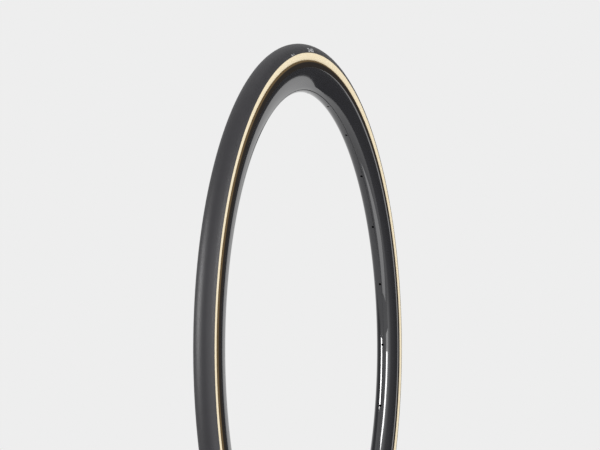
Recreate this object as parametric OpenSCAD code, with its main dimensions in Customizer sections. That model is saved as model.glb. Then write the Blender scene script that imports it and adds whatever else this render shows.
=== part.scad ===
// Bicycle tire with its inner tube and valve, inflated on a drilled deep-section clincher rim.
// The wheel turns about Y, the origin is the wheel's centre and +Z is up.
// Left is the +Y side and right is the -Y side.

/* [Tire] */
// Diameter of the rim seats that the tire's beads sit on
bead_seat_d = 622; // [571:1:635]
// Height of the inflated tire above the bead seats
tire_height = 24; // [22.5:0.5:27]
// Width of the inflated casing
casing_w = 22.8; // [21.5:0.1:26]
// Thickness of the casing
casing_t = 0.8; // [0.5:0.1:1.1]
// Thickness of the tread rubber over the belt at the crown
tread_t = 1.3; // [0.8:0.1:2.6]
// Thickness of the tread rubber at its edges
tread_edge_t = 0.35; // [0.2:0.05:0.6]
// Angle from the crown to each edge of the tread
tread_angle = 75.5; // [60:0.5:85]
// Thickness of the puncture belt
belt_t = 0.4; // [0.2:0.1:0.8]
// Angle from the crown to each edge of the puncture belt
belt_angle = 38; // [20:1:50]
// Diameter of each bead core
bead_core_d = 1.7; // [1.2:0.1:1.8]
// Thickness of the chafer strip round each bead
chafer_t = 0.3; // [0.2:0.05:0.4]

/* [Rim] */
// Width of the rim over its brake tracks
rim_w = 23; // [21:0.1:24.5]
// Thickness of each flange at its lip
lip_t = 2.5; // [2:0.1:3]
// Height of the flanges above the bead seats
flange_h = 5.5; // [5:0.1:6.5]
// Height of the recess under each hook, above the bead seat
hook_h = 2.7; // [2.4:0.1:3]
// Depth of the recess under each hook
hook_depth = 0.6; // [0.4:0.1:0.8]
// Depth of the rim from the flange tips to its inner edge
rim_depth = 35; // [30:0.5:60]
// Radius of the rim's rounded inner edge
nose_r = 9.4; // [8:0.1:10]
// Height of the flat brake tracks
brake_track_h = 7.5; // [6:0.5:12]
// Step out from each brake track to the rim's side
track_step = 0.25; // [0.1:0.05:0.5]
// Thickness of the rim's side walls
rim_wall = 1.6; // [1:0.1:2]
// Thickness of the wall that the spokes bear on
spoke_bed_t = 3; // [2:0.1:4]
// Thickness of the tire bed
tire_bed_t = 1.8; // [1.2:0.1:2.5]
// Depth of the centre well below the bead seats
well_depth = 3; // [2:0.1:4]
// How far each side of the centre well leans out, up to the bead seat
well_flare = 0.2; // [0:0.05:0.4]
// Thickness of the rim tape
tape_t = 0.5; // [0.3:0.1:0.8]

/* [Holes] */
// Number of spoke holes
spoke_count = 24; // [16:4:36]
// Diameter of the spoke holes
spoke_hole_d = 3; // [2.4:0.1:5]
// Diameter of the nipple access holes in the tire bed
access_hole_d = 7; // [6:0.1:8]
// Angle of the first spoke hole above the X axis
hole_phase = 1; // [-7:0.5:7]
// Clearance round the valve stem in the rim
valve_hole_gap = 0.3; // [0.25:0.05:0.75]

/* [Tube and valve stem] */
// Thickness of the inner tube's wall
tube_t = 0.9; // [0.6:0.1:1.2]
// Length of the rubber foot along the rim
foot_l = 14; // [12:1:20]
// Thickness of the rubber foot
foot_t = 2; // [1.6:0.1:3]
// Thickness of the foot's rubber on each side of the stem
foot_side_t = 0.3; // [0.2:0.05:0.5]
// Diameter of the valve stem
stem_d = 6; // [5.8:0.05:6.2]
// Height of the valve stem's top above the rim's inner edge
stem_h = 20; // [16:1:40]
// Diameter of the air passage through the stem
stem_bore_d = 3.8; // [3.6:0.1:4]
// How far the flange at the stem's base stands out along the rim
stem_flange_end = 1.5; // [1:0.25:2.5]
// How far the flange at the stem's base stands out across the rim
stem_flange_side = 0.1; // [0.05:0.05:0.3]
// Thickness of the flange at the stem's base
stem_flange_t = 0.8; // [0.6:0.1:1.2]

/* [Valve core] */
// Diameter of the core where it screws into the stem
core_screw_d = 4.6; // [4.4:0.1:4.8]
// Length of the core's screw inside the stem
core_screw_h = 6; // [4:0.5:8]
// Diameter of the core's neck below the screw
core_neck_d = 3.4; // [3.2:0.1:3.5]
// Length of the core's neck below the screw
core_neck_h = 3; // [2.5:0.5:6]
// Height of the sealing ring round the neck
gasket_h = 1.5; // [1:0.1:2.2]
// Diameter of the core above the stem, over the thread for the cap
cap_thread_d = 5.2; // [5:0.05:5.4]
// Length of the core above the stem
cap_thread_h = 7.6; // [6:0.1:10]
// Width over the two wrench flats of the core
core_flat_w = 4.9; // [4.85:0.05:5.1]
// Diameter of the pin
pin_d = 1.5; // [1.2:0.05:1.7]
// Travel of the pin when the tip nut is undone
pin_travel = 2; // [1:0.1:2.5]
// Height of the swaged end of the pin above the tip nut
pin_end_h = 0.5; // [0.3:0.1:1]
// Diameter of the swaged end of the pin
pin_end_d = 2; // [1.8:0.1:2.4]
// Diameter of the rubber seal on the pin
pin_seal_d = 3; // [2.8:0.1:3.2]
// Height of the rubber seal on the pin
pin_seal_h = 2; // [1.5:0.1:3]
// Diameter of the tip nut
tip_nut_d = 4.4; // [3.8:0.1:4.6]
// Height of the tip nut
tip_nut_h = 3.2; // [2.5:0.1:4]
// Height of the tip nut's straight grip
tip_nut_grip_h = 1.9; // [1:0.1:2.3]
// Diameter of the tip nut's narrow end
tip_nut_end_d = 3; // [2.6:0.1:3.6]
// Length of the core's bore that guides the pin
pin_guide_h = 1.5; // [1:0.1:3]

/* [Cap and rim nut] */
// Thickness of the valve cap's wall
cap_wall = 0.8; // [0.6:0.05:1.2]
// Number of grip ribs round the valve cap
cap_rib_count = 10; // [6:1:16]
// Height of each grip rib above the cap, and half of its width
cap_rib_t = 0.3; // [0.2:0.05:0.5]
// Length of the grip ribs
cap_rib_h = 7.1; // [4:0.1:9]
// Diameter of the rim nut
rim_nut_d = 10; // [9:0.1:12]
// Height of the rim nut
rim_nut_h = 4; // [3:0.1:6]
// Height of the rim nut's grooved grip
rim_nut_grip_h = 2.4; // [1.5:0.1:2.9]
// Number of grip grooves round the rim nut
rim_nut_grooves = 20; // [12:1:30]
// Diameter of each grip groove
groove_d = 0.8; // [0.5:0.1:1]
// Depth of each grip groove
groove_depth = 0.25; // [0.15:0.05:0.35]
// Thickness of the rubber ring in the rim nut's foot
nut_seal_t = 1.2; // [0.8:0.1:2]
// Width of the rubber ring in the rim nut's foot
nut_seal_w = 1.2; // [0.8:0.1:1.4]

/* [Hidden] */

fit = 0.05;      // clearance between pieces that are pressed or laid together
turn_fit = 0.05; // radial clearance of threads and sliding fits
apart = 0.3;     // clearance beside pieces that move
past = 1;        // how far a cut runs past the face that it opens

ring_parts = 180; // flat parts round a ring of the wheel
bar_parts = 48;   // flat parts round a bar of the valve
seam_turn = 50;   // turns the seam of a bar off the centre plane

// Radii from the wheel's axis
seat_r = bead_seat_d / 2;
tire_r = seat_r + tire_height;
flange_r = seat_r + flange_h;
rim_inner_r = flange_r - rim_depth;
nose_c = rim_inner_r + nose_r;
track_r = flange_r - brake_track_h;
well_r = seat_r - well_depth;
hook_top_r = seat_r + hook_h;

// The tire's round section
casing_a = casing_w / 2;
section_r = tire_r - tread_t - belt_t - casing_a;
leave_h = 1.55; // height above the lips at which the casing leaves its round section
leave_angle = 90 + asin((section_r - flange_r - leave_h) / casing_a);
inner_leave_angle = leave_angle - 11;
wrap_angle = -20;
inner_wrap_angle = -30;
lip_fillet = 0.35;

// Rim widths, measured from the centre plane
half_w = rim_w / 2;
lip_r = lip_t / 2;
lip_c = [flange_r - lip_r, half_w - lip_r];
mouth_w = half_w - lip_t;
hook_w = mouth_w + hook_depth;
nose_lean = 18;   // lean of each side where it meets the rounded inner edge
side_pull = 0.38; // how far each end of the side runs straight, in lengths of the side
well_half_w = stem_d / 2 + fit + foot_side_t + tube_t + fit + tape_t;
seat_edge_w = well_half_w + well_flare;
well_corner = [0.3, 0.1];
hook_lead = 0.7;
bed_corners = [0.7, 0.4]; // how far the bed's corners stand out underneath, in bed thicknesses

// Tire bead
bead_r = seat_r + fit;
bead_w = 3;
toe_w = hook_w - bead_w;
toe_h = 1.9;
toe_chamfer = 0.5;
heel_chamfer = 1;
bead_slope = [1.2, 0.8];
bead_core_c = [bead_r + toe_h - 0.25, mouth_w - 1.15];

// Places along the valve's axis, as heights above the rim's inner edge
tube_floor_r = well_r + tape_t + fit + tube_t;
floor_z = rim_inner_r - tube_floor_r;
foot_z = floor_z - foot_t;
flange_z = floor_z - foot_t / 2 - stem_flange_t / 2;
core_end_z = stem_h - core_screw_h - core_neck_h;
core_top_z = stem_h + cap_thread_h;
tip_nut_z = core_top_z + fit;
pin_top_z = tip_nut_z + tip_nut_h + pin_travel + pin_end_h;
pin_bottom_z = core_end_z - fit - pin_seal_h;
nut_seal_z = apart;
rim_nut_z = nut_seal_z + nut_seal_t / 2;
cap_z = stem_h + apart;
cap_inside_z = pin_top_z + apart;

stem_flange_d = stem_d + 2 * stem_flange_end;
stem_flange_w = stem_d + 2 * stem_flange_side;
valve_hole_d = stem_d + 2 * valve_hole_gap;

hole_step = 360 / spoke_count;
valve_angle = hole_phase - 90 + hole_step / 2;

/* ---------- outlines, as [radius from the axis, distance from the centre plane] ---------- */

function steps(from, to, count) = [for (i = [0 : count]) from + (to - from) * i / count];
function tail(list) = [for (i = [1 : len(list) - 1]) list[i]];
function backwards(list) = [for (i = [len(list) - 1 : -1 : 0]) list[i]];
function on_section(radius, angle) = [section_r + radius * cos(angle), radius * sin(angle)];
function arc(centre, radius, from, to, count) =
    [for (a = steps(from, to, count)) centre + radius * [cos(a), sin(a)]];
function bezier(p0, p1, p2, p3, count) =
    [for (t = steps(0, 1, count)) let (s = 1 - t)
        s * s * s * p0 + 3 * s * s * t * p1 + 3 * s * t * t * p2 + t * t * t * p3];

// Whole outline from its half on one side of the centre plane
function closed(half) = concat(half, [for (p = backwards(half)) if (p[1] > 0) [p[0], -p[1]]]);

belt_angles = steps(0, belt_angle, 8);
shoulder_angles = steps(belt_angle, tread_angle, 8);
side_angles = steps(tread_angle, leave_angle, 9);

// From the section's circle to the lip of the rim
function to_lip(radius, leave, wrap, land, reach) =
    let (p0 = on_section(radius, leave), p3 = lip_c + wrap * [cos(land), sin(land)])
    bezier(p0, p0 + reach * [-sin(leave), cos(leave)], p3 - reach * [sin(land), -cos(land)], p3, 4);

// The outside of the casing, from the crown to the inner side of the rim's lip
function casing_outside() = concat(
    [for (a = concat(belt_angles, tail(shoulder_angles), tail(side_angles))) on_section(casing_a, a)],
    tail(to_lip(casing_a, leave_angle, lip_r + fit, wrap_angle, lip_fillet)),
    tail(arc(lip_c, lip_r + fit, wrap_angle, -90, 8)));

// A surface inside the casing, depth below its outside
function casing_inside(depth) = concat(
    [for (a = steps(0, inner_leave_angle, 24)) on_section(casing_a - depth, a)],
    tail(to_lip(casing_a - depth, inner_leave_angle, lip_r + fit + depth, inner_wrap_angle, 2 * lip_fillet)),
    tail(arc(lip_c, lip_r + fit + depth, inner_wrap_angle, -90, 6)));

// The face of the bead that meets the rim, and the same line depth below it
function bead_line(depth) = [
    [lip_c[0], mouth_w - fit - depth],
    [hook_top_r + hook_lead, mouth_w - fit - depth],
    [hook_top_r - depth / 2, hook_w - fit - depth],
    [bead_r + heel_chamfer + depth / 2, hook_w - fit - depth],
    [bead_r + depth, hook_w - fit - heel_chamfer - depth / 2],
    [bead_r + depth, toe_w + toe_chamfer]];

// The air side of the bead from the casing down to its toe, moved towards the centre plane
function bead_inside(gap) = [
    [bead_r + toe_h + bead_slope[0], toe_w + bead_slope[1] - gap],
    [bead_r + toe_h, toe_w - gap]];

function casing_half() = concat(
    casing_outside(), bead_line(chafer_t), [[bead_r + chafer_t + toe_chamfer / 2, toe_w]],
    backwards(concat(casing_inside(casing_t), bead_inside(0))));

function tread_height(angle) =
    tread_edge_t + (tread_t + belt_t - tread_edge_t) * pow(cos(90 * angle / tread_angle), 1.6);
function tread_half() = concat(
    [for (a = steps(0, tread_angle, 24)) on_section(casing_a + tread_height(a), a)],
    [for (a = backwards(shoulder_angles)) on_section(casing_a, a)],
    [for (a = backwards(belt_angles)) on_section(casing_a + belt_t, a)]);
function belt_half() = concat(
    [for (a = belt_angles) on_section(casing_a + belt_t, a)],
    [for (a = backwards(belt_angles)) on_section(casing_a, a)]);

// The tire's side of the rim, from the lip to the floor of the well
function rim_bed() = concat(
    arc(lip_c, lip_r, 0, -125, 10),
    [[hook_top_r, hook_w], [seat_r, hook_w]], well_line());
function well_line() = [
    [seat_r, seat_edge_w],
    [well_r + well_corner[0], well_half_w + well_corner[1]],
    [well_r, well_half_w]];

// The outside of the rim, from the lip to the inner edge
function rim_outside() =
    let (side_w = half_w + track_step, side_r = track_r - track_step,
         edge = [nose_c - nose_r * sin(nose_lean), nose_r * cos(nose_lean)],
         pull = side_pull * (side_r - edge[0]))
    concat(
        arc(lip_c, lip_r, 0, 90, 6),
        [[track_r, half_w]],
        bezier([side_r, side_w],
               [side_r - pull, side_w],
               edge + pull * [cos(nose_lean), sin(nose_lean)],
               edge, 8),
        tail(arc([nose_c, 0], nose_r, 90 + nose_lean, 176, 10)));
function rim_half() = concat(backwards(rim_outside()), tail(rim_bed()));

// The hollow of the rim, from the spoke bed to under the well
function rim_hollow_half() =
    let (inner_w = half_w - rim_wall, bed_r = seat_r - tire_bed_t,
         hollow_r = nose_r - rim_wall, floor_angle = acos((nose_r - spoke_bed_t) / hollow_r))
    concat(
        arc([nose_c, 0], hollow_r, 180 - floor_angle, 90, 6),
        [[bed_r - rim_wall / 2, inner_w], [bed_r, inner_w - rim_wall / 2],
         [bed_r, seat_edge_w + bed_corners[0] * tire_bed_t],
         [well_r - tire_bed_t, well_half_w + bed_corners[1] * tire_bed_t]]);

// The rim tape lies in the well and up its sides
function tape_half() = concat(
    backwards(well_line()),
    [[seat_r, seat_edge_w - tape_t], [well_r + tape_t, well_half_w - tape_t]]);

// The outside of the inner tube, and the same line depth below it
function tube_half(depth) = concat(
    casing_inside(casing_t + fit + depth),
    bead_inside(2 * fit + depth),
    [[seat_r, seat_edge_w - tape_t - 2 * fit - depth],
     [well_r + tape_t + fit + depth, well_half_w - tape_t - fit - depth]]);

/* ---------- placing ---------- */

module ring(outline) rotate([-90, 0, 0]) rotate_extrude($fn = ring_parts) polygon(outline);

// A place on the rim's inner edge, with +Z pointing at the wheel's centre
module on_rim(angle) rotate([0, -angle, 0]) translate([rim_inner_r, 0, 0]) rotate([0, -90, 0]) children();

// A round bar between two heights, for solids and for cuts, with its seam off the centre plane
module bar(d, from, to)
    translate([0, 0, from]) rotate([0, 0, seam_turn]) cylinder(d = d, h = to - from, $fn = bar_parts);

module on_side(side) mirror([0, side < 0 ? 1 : 0, 0]) children();

/* ---------- tire ---------- */

module tread() color([0.13, 0.13, 0.14]) ring(closed(tread_half()));

module puncture_belt() color([0.85, 0.55, 0.15]) ring(closed(belt_half()));

module bead_core_ring()
    rotate([-90, 0, 0]) rotate_extrude($fn = ring_parts)
        translate(bead_core_c) circle(d = bead_core_d, $fn = bar_parts);

module casing() color([0.93, 0.85, 0.66]) difference() {
    ring(closed(casing_half()));
    on_side(1) bead_core_ring();
    on_side(-1) bead_core_ring();
}

module bead_core(side) color([0.75, 0.7, 0.25]) on_side(side) bead_core_ring();

module chafer(side) color([0.25, 0.22, 0.2])
    on_side(side) ring(concat(bead_line(0), backwards(bead_line(chafer_t))));

/* ---------- rim ---------- */

module rim() color([0.1, 0.1, 0.11]) difference() {
    ring(closed(rim_half()));
    ring(closed(rim_hollow_half()));
    for (i = [0 : spoke_count - 1]) on_rim(hole_phase + i * hole_step) {
        bar(spoke_hole_d, -spoke_bed_t - past, past);
        bar(access_hole_d, rim_inner_r - seat_r, rim_inner_r - well_r + tire_bed_t + past);
    }
    on_rim(valve_angle) bar(valve_hole_d, rim_inner_r - seat_r, past);
}

module rim_tape() color([0.2, 0.35, 0.6]) difference() {
    ring(closed(tape_half()));
    on_rim(valve_angle) bar(valve_hole_d, rim_inner_r - seat_r, past);
}

/* ---------- tube and valve ---------- */

module inner_tube() color([0.2, 0.2, 0.21]) difference() {
    ring(closed(tube_half(0)));
    ring(closed(tube_half(tube_t)));
    on_rim(valve_angle) bar(stem_d + 2 * fit, floor_z - fit, floor_z + tube_t + past);
}

// The flange at the stem's base, long along the rim and narrow across it
module stem_flange(grow) intersection() {
    bar(stem_flange_d + 2 * grow, flange_z - grow, flange_z + stem_flange_t + grow);
    translate([0, 0, flange_z]) cube([2 * foot_l, stem_flange_w + 2 * grow, 2 * foot_t], center = true);
}

// The foot fills the floor of the tube's hollow along a short arc
module valve_foot() color([0.16, 0.16, 0.17]) difference() {
    foot_angle = foot_l / tube_floor_r * 180 / PI;
    rotate([-90, 0, 0]) rotate([0, 0, -valve_angle - foot_angle / 2])
        rotate_extrude(angle = foot_angle, $fn = ring_parts) intersection() {
            polygon(closed(tube_half(tube_t)));
            translate([tube_floor_r - past, -half_w]) square([foot_t + past, 2 * half_w]);
        }
    on_rim(valve_angle) {
        stem_flange(fit);
        bar(stem_d + 2 * fit, flange_z, floor_z + past);
        bar(stem_bore_d, foot_z - past, floor_z);
    }
}

module valve_stem() color([0.8, 0.8, 0.78]) on_rim(valve_angle) difference() {
    union() {
        stem_flange(0);
        bar(stem_d, flange_z, stem_h);
    }
    bar(stem_bore_d, flange_z - past, stem_h + past);
    bar(core_screw_d + 2 * turn_fit, stem_h - core_screw_h - gasket_h, stem_h + past);
}

module valve_core() color([0.82, 0.68, 0.35]) on_rim(valve_angle) difference() {
    union() {
        bar(core_neck_d, core_end_z, core_top_z);
        bar(core_screw_d, stem_h - core_screw_h, stem_h);
        intersection() {
            bar(cap_thread_d, stem_h, core_top_z);
            translate([-cap_thread_d, -core_flat_w / 2, stem_h])
                cube([2 * cap_thread_d, core_flat_w, cap_thread_h]);
        }
    }
    bar(pin_d + 2 * apart, core_end_z - past, core_top_z - pin_guide_h);
    bar(pin_d + 2 * turn_fit, core_end_z, core_top_z + past);
}

module core_gasket() color([0.15, 0.15, 0.15]) on_rim(valve_angle) difference() {
    bar(core_screw_d, stem_h - core_screw_h - gasket_h, stem_h - core_screw_h);
    bar(core_neck_d, stem_h - core_screw_h - gasket_h - past, stem_h);
}

module valve_pin() color([0.85, 0.72, 0.4]) on_rim(valve_angle) {
    bar(pin_d, pin_bottom_z, pin_top_z);
    bar(pin_end_d, pin_top_z - pin_end_h, pin_top_z);
}

module pin_seal() color([0.12, 0.12, 0.12]) on_rim(valve_angle) difference() {
    bar(pin_seal_d, pin_bottom_z, pin_bottom_z + pin_seal_h);
    bar(pin_d, pin_bottom_z - past, core_top_z);
}

module tip_nut() color([0.83, 0.7, 0.36]) on_rim(valve_angle) difference() {
    translate([0, 0, tip_nut_z]) rotate_extrude($fn = bar_parts) polygon([
        [0, 0], [tip_nut_d / 2, 0], [tip_nut_d / 2, tip_nut_grip_h],
        [tip_nut_end_d / 2, tip_nut_h], [0, tip_nut_h]]);
    bar(pin_d + 2 * turn_fit, tip_nut_z - past, pin_top_z + past);
}

module valve_cap() color([0.12, 0.12, 0.13]) on_rim(valve_angle) difference() {
    outer_r = cap_thread_d / 2 + turn_fit + cap_wall;
    cap_h = cap_inside_z + cap_wall - cap_z;
    union() {
        translate([0, 0, cap_z]) rotate_extrude($fn = bar_parts) polygon([
            [0, 0], [outer_r, 0], [outer_r, cap_rib_h + cap_wall], [outer_r - cap_wall / 2, cap_h - cap_wall],
            [outer_r - cap_wall, cap_h], [0, cap_h]]);
        for (i = [0 : cap_rib_count - 1]) rotate([0, 0, i * 360 / cap_rib_count])
            translate([outer_r - cap_rib_t, -cap_rib_t, cap_z])
                cube([2 * cap_rib_t, 2 * cap_rib_t, cap_rib_h]);
    }
    bar(cap_thread_d + 2 * turn_fit, cap_z - past, cap_inside_z);
}

module rim_nut() color([0.72, 0.72, 0.72]) on_rim(valve_angle) difference() {
    union() {
        bar(rim_nut_d - 2 * groove_depth - 2 * fit, rim_nut_z, rim_nut_z + rim_nut_h);
        difference() {
            bar(rim_nut_d, rim_nut_z, rim_nut_z + rim_nut_grip_h);
            for (i = [0 : rim_nut_grooves - 1]) rotate([0, 0, i * 360 / rim_nut_grooves])
                translate([(rim_nut_d + groove_d) / 2 - groove_depth, 0, 0])
                    bar(groove_d, rim_nut_z - past, rim_nut_z + rim_nut_h);
        }
    }
    bar(stem_d + 2 * turn_fit, rim_nut_z - past, rim_nut_z + rim_nut_h + past);
    bar(stem_d + 2 * apart + 2 * nut_seal_w + 2 * fit, rim_nut_z - past, nut_seal_z + nut_seal_t + fit);
}

module rim_nut_seal() color([0.1, 0.1, 0.1]) on_rim(valve_angle) difference() {
    bar(stem_d + 2 * apart + 2 * nut_seal_w, nut_seal_z, nut_seal_z + nut_seal_t);
    bar(stem_d + 2 * apart, nut_seal_z - past, nut_seal_z + nut_seal_t + past);
}

/* ---------- nodes ---------- */

tread();
puncture_belt();
casing();
bead_core(1);  // bead_core_left
bead_core(-1);  // bead_core_right
chafer(1);  // chafer_left
chafer(-1);  // chafer_right
rim();
rim_tape();
inner_tube();
valve_foot();
valve_stem();
valve_core();
core_gasket();
valve_pin();
pin_seal();
tip_nut();
valve_cap();
rim_nut();
rim_nut_seal();
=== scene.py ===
"""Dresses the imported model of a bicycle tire, mounted and inflated on a deep drilled rim.

The wheel turns about Y, its centre is the origin and +Z is up. Every length is in metres.
"""

import math
from contextlib import contextmanager

import bpy
from mathutils import Matrix, Vector


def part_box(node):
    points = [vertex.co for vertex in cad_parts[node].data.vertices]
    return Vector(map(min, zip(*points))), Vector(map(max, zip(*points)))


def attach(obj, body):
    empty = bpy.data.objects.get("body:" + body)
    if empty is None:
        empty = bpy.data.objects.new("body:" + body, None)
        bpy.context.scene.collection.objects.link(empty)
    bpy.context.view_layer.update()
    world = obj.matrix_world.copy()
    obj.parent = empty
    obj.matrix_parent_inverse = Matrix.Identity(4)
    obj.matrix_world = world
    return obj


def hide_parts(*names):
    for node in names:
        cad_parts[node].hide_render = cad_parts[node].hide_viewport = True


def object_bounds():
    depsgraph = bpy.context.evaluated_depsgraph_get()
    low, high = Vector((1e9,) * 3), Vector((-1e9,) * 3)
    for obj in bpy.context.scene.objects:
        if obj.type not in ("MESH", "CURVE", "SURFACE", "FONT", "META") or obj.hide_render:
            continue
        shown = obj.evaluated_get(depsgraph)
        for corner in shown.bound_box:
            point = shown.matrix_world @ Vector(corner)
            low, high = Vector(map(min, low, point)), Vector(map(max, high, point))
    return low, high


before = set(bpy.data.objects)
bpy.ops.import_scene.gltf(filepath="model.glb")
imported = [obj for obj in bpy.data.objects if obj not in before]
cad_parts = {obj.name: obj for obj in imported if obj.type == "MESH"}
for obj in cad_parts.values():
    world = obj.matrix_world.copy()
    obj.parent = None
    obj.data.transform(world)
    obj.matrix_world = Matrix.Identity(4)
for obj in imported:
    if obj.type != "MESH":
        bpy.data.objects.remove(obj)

bl_info = {
    "name": "Bicycle tire on a deep rim",
    "version": (1, 0, 0),
    "blender": (4, 5, 0),
    "location": "3D View > Sidebar > Tire",
    "description": "Models and finishes a mounted bicycle tire, its rim and its valve",
    "category": "Object",
}

CAD_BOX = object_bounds()
MM = 0.001
# Gap between pieces that seat on each other, and between pieces that move apart.
FIT = 0.05 * MM
APART = 0.3 * MM
# Corners closer than this are one corner: on a drawn line, and on a shell.
CLOSE = 1e-7
CLOSE_ON_SHELL = 1e-6
WHITE = (1, 1, 1, 1)
# Faces round each ring; the rim's are a multiple of its holes.
TREAD_STEPS, CASING_STEPS, RIM_STEPS = 480, 360, 432


def high(node):
    """A node's highest corner."""
    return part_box(node)[1]


def reach(node):
    """A node's greatest distance from the axle."""
    return max(math.hypot(corner.co.x, corner.co.z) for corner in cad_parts[node].data.vertices)


# ---- sizes and colours that a user would change


def length(name, description, default):
    return bpy.props.FloatProperty(
        name=name, description=description, default=default, min=0, unit="LENGTH", subtype="DISTANCE"
    )


def angle(name, description, default):
    return bpy.props.FloatProperty(
        name=name, description=description, default=math.radians(default), unit="ROTATION", subtype="ANGLE"
    )


def colour(name, description, default):
    return bpy.props.StringProperty(name=name, description=description, default=default)


class TireSizes(bpy.types.PropertyGroup):
    """Sizes of the tire."""

    crown: length("Crown radius", "Radius of the tread's crown", high("tread").z - 0.1 * MM)
    half_width: length("Half width", "Half of the inflated casing's width", high("casing").y)
    casing: length("Casing", "Thickness of the casing", 0.8 * MM)
    belt: length("Belt", "Thickness of the puncture belt", 0.4 * MM)
    belt_edge: angle("Belt edge", "Angle from the crown to the belt's edge", 38)
    tread: length("Tread", "Thickness of the tread over the belt", 1.3 * MM)
    tread_lip: length("Tread edge", "Thickness of the tread at its edge", 0.35 * MM)
    tread_edge: angle("Tread angle", "Angle from the crown to the tread's edge", 75.5)
    bead_seat: length("Bead seat", "Radius of the rim's bead seats", 311 * MM)


class RimSizes(bpy.types.PropertyGroup):
    """Sizes of the rim."""

    flange: length("Flange radius", "Radius of the rim's flange tips", high("rim").z)
    track: length("Track half width", "Half of the width over the brake tracks", 11.5 * MM)
    lip: length("Lip", "Thickness of each flange at its lip", 2.5 * MM)
    track_height: length("Track height", "Height of the brake tracks", 7.5 * MM)
    track_step: length("Track step", "Step from each track out to the side", 0.25 * MM)
    depth: length("Depth", "Depth from the flange tips to the inner edge", 35 * MM)
    nose: length("Nose radius", "Radius of the rounded inner edge", 9.4 * MM)
    wall: length("Wall", "Thickness of the side walls", 1.6 * MM)
    spoke_bed: length("Spoke bed", "Thickness of the wall under the spokes' nipples", 3 * MM)
    spoke_hole: length("Spoke hole", "Diameter of the spoke holes", 3 * MM)
    access_hole: length("Access hole", "Diameter of the nipple access holes", 7 * MM)
    valve_hole: length("Valve hole", "Diameter of the valve holes", 6.6 * MM)
    hook: length("Hook", "How far each lip hooks in over the bead", 0.6 * MM)
    hook_height: length("Hook height", "Height of the hooks over the bead seats", 2.7 * MM)
    tire_bed: length("Tire bed", "Thickness of the wall under the tire", 1.8 * MM)
    well: length("Well half width", "Half of the width between the bead seats", 5 * MM)
    well_depth: length("Well depth", "Depth of the well under the bead seats", 3 * MM)
    holes: bpy.props.IntProperty(name="Spoke holes", description="Number of holes", default=24, min=1)
    first_hole: angle("First hole", "Angle of the first spoke hole above the X axis", 1)


class ValveSizes(bpy.types.PropertyGroup):
    """Sizes of the valve; heights are above the rim's inner edge."""

    stem: length("Stem radius", "Radius of the valve stem", 3 * MM)
    stem_top: length("Stem top", "Height of the stem's top", 20 * MM)
    bore: length("Bore radius", "Radius of the bore through the stem", 1.9 * MM)
    core_seat: length("Core seat", "Radius of the bore's wide end, for the core", 2.35 * MM)
    pitch: length("Thread pitch", "Pitch of the stem's thread", 0.8 * MM)
    thread: length("Thread depth", "Depth of the stem's thread", 0.35 * MM)
    nut: length("Rim nut radius", "Radius of the rim nut's grip", 5 * MM)
    nut_base: length("Rim nut base", "Height of the rim nut's underside", 0.9 * MM)
    nut_top: length("Rim nut top", "Height of the rim nut's top", 4.9 * MM)
    core_foot: length("Core foot", "Height of the core's lower end", 11 * MM)
    core_top: length("Core top", "Height of the core's top", 27.6 * MM)
    core_crest: length("Core thread radius", "Radius of the core's thread for the cap", 2.6 * MM)
    core_thread: length("Core thread depth", "Depth of the core's thread", 0.3 * MM)
    core_pitch: length("Core thread pitch", "Pitch of the core's thread", 0.7 * MM)
    core_flats: length("Core flats", "Width of the core over its two flats", 4.9 * MM)
    pin_hole: length("Pin hole radius", "Radius of the hole for the pin", 0.8 * MM)
    tip_nut: length("Tip nut radius", "Radius of the tip nut's grip", 2.2 * MM)
    tip_nut_top: length("Tip nut top", "Height of the tip nut's top", 30.82 * MM)
    cap: length("Cap radius", "Radius of the cap without its ribs", 3.45 * MM)
    cap_top: length("Cap top", "Height of the cap's top", 34.45 * MM)


class TireColours(bpy.types.PropertyGroup):
    """Colours, as sRGB hex."""

    rubber: colour("Tread rubber", "Black tread rubber", "#242327")
    cotton: colour("Sidewall", "Latex-coated natural cotton", "#F8EBCE")
    carbon: colour("Rim", "Carbon laminate under lacquer", "#17171B")
    track: colour("Brake track", "Ground brake track", "#2E2A27")
    # Painted reflection: the shaded cream sidewall as it mirrors in the tracks under the lips.
    painted_lip_reflection: colour("Stain", "Latex stain under the lip", "#66553D")
    print_ink: colour("Print", "Size mark printed on the tread", "#D8D8DA")
    nickel: colour("Stem", "Nickel plate on the stem", "#D3D0C8")
    aluminium: colour("Rim nut", "Anodised aluminium", "#C9CBCE")
    brass: colour("Core", "Bare brass of core, tip nut and pin", "#D8B25E")
    cap: colour("Cap", "Polyethylene cap", "#1B1B1D")
    butyl: colour("Butyl", "Tube, valve foot and seals", "#232325")
    belt: colour("Belt", "Aramid belt cloth", "#C9822C")
    bead_cord: colour("Bead cord", "Aramid bead cord", "#BFA93F")
    chafer: colour("Chafer", "Nylon chafer cloth", "#3B3631")
    tape: colour("Rim tape", "Nylon rim tape", "#3F6294")
    backdrop: colour("Backdrop", "Studio paper all round", "#EEEEEE")
    floor: colour("Floor", "Studio paper on the floor", "#F2F2F2")


# ---- small tools


def linear(code):
    """An sRGB hex colour as linear RGBA."""
    parts = [int(code[i : i + 2], 16) / 255 for i in (1, 3, 5)]
    return [p / 12.92 if p <= 0.04045 else ((p + 0.055) / 1.055) ** 2.4 for p in parts] + [1]


def scaled(shade, *factors):
    """A linear colour times one factor, or times one for each channel."""
    each = factors * 3 if len(factors) == 1 else factors
    return [min(1, part * factor) for part, factor in zip(shade, each)] + [1]


def add(tree, kind, inputs=None, **settings):
    """A node with its settings; each input is a value, a socket, or a node for its first output."""
    made = tree.nodes.new(kind)
    for key, value in settings.items():
        setattr(made, key, value)
    for key, value in (inputs or {}).items():
        if isinstance(value, bpy.types.Node):
            value = value.outputs[0]
        if isinstance(value, bpy.types.NodeSocket):
            tree.links.new(value, made.inputs[key])
        else:
            made.inputs[key].default_value = value
    return made


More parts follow.
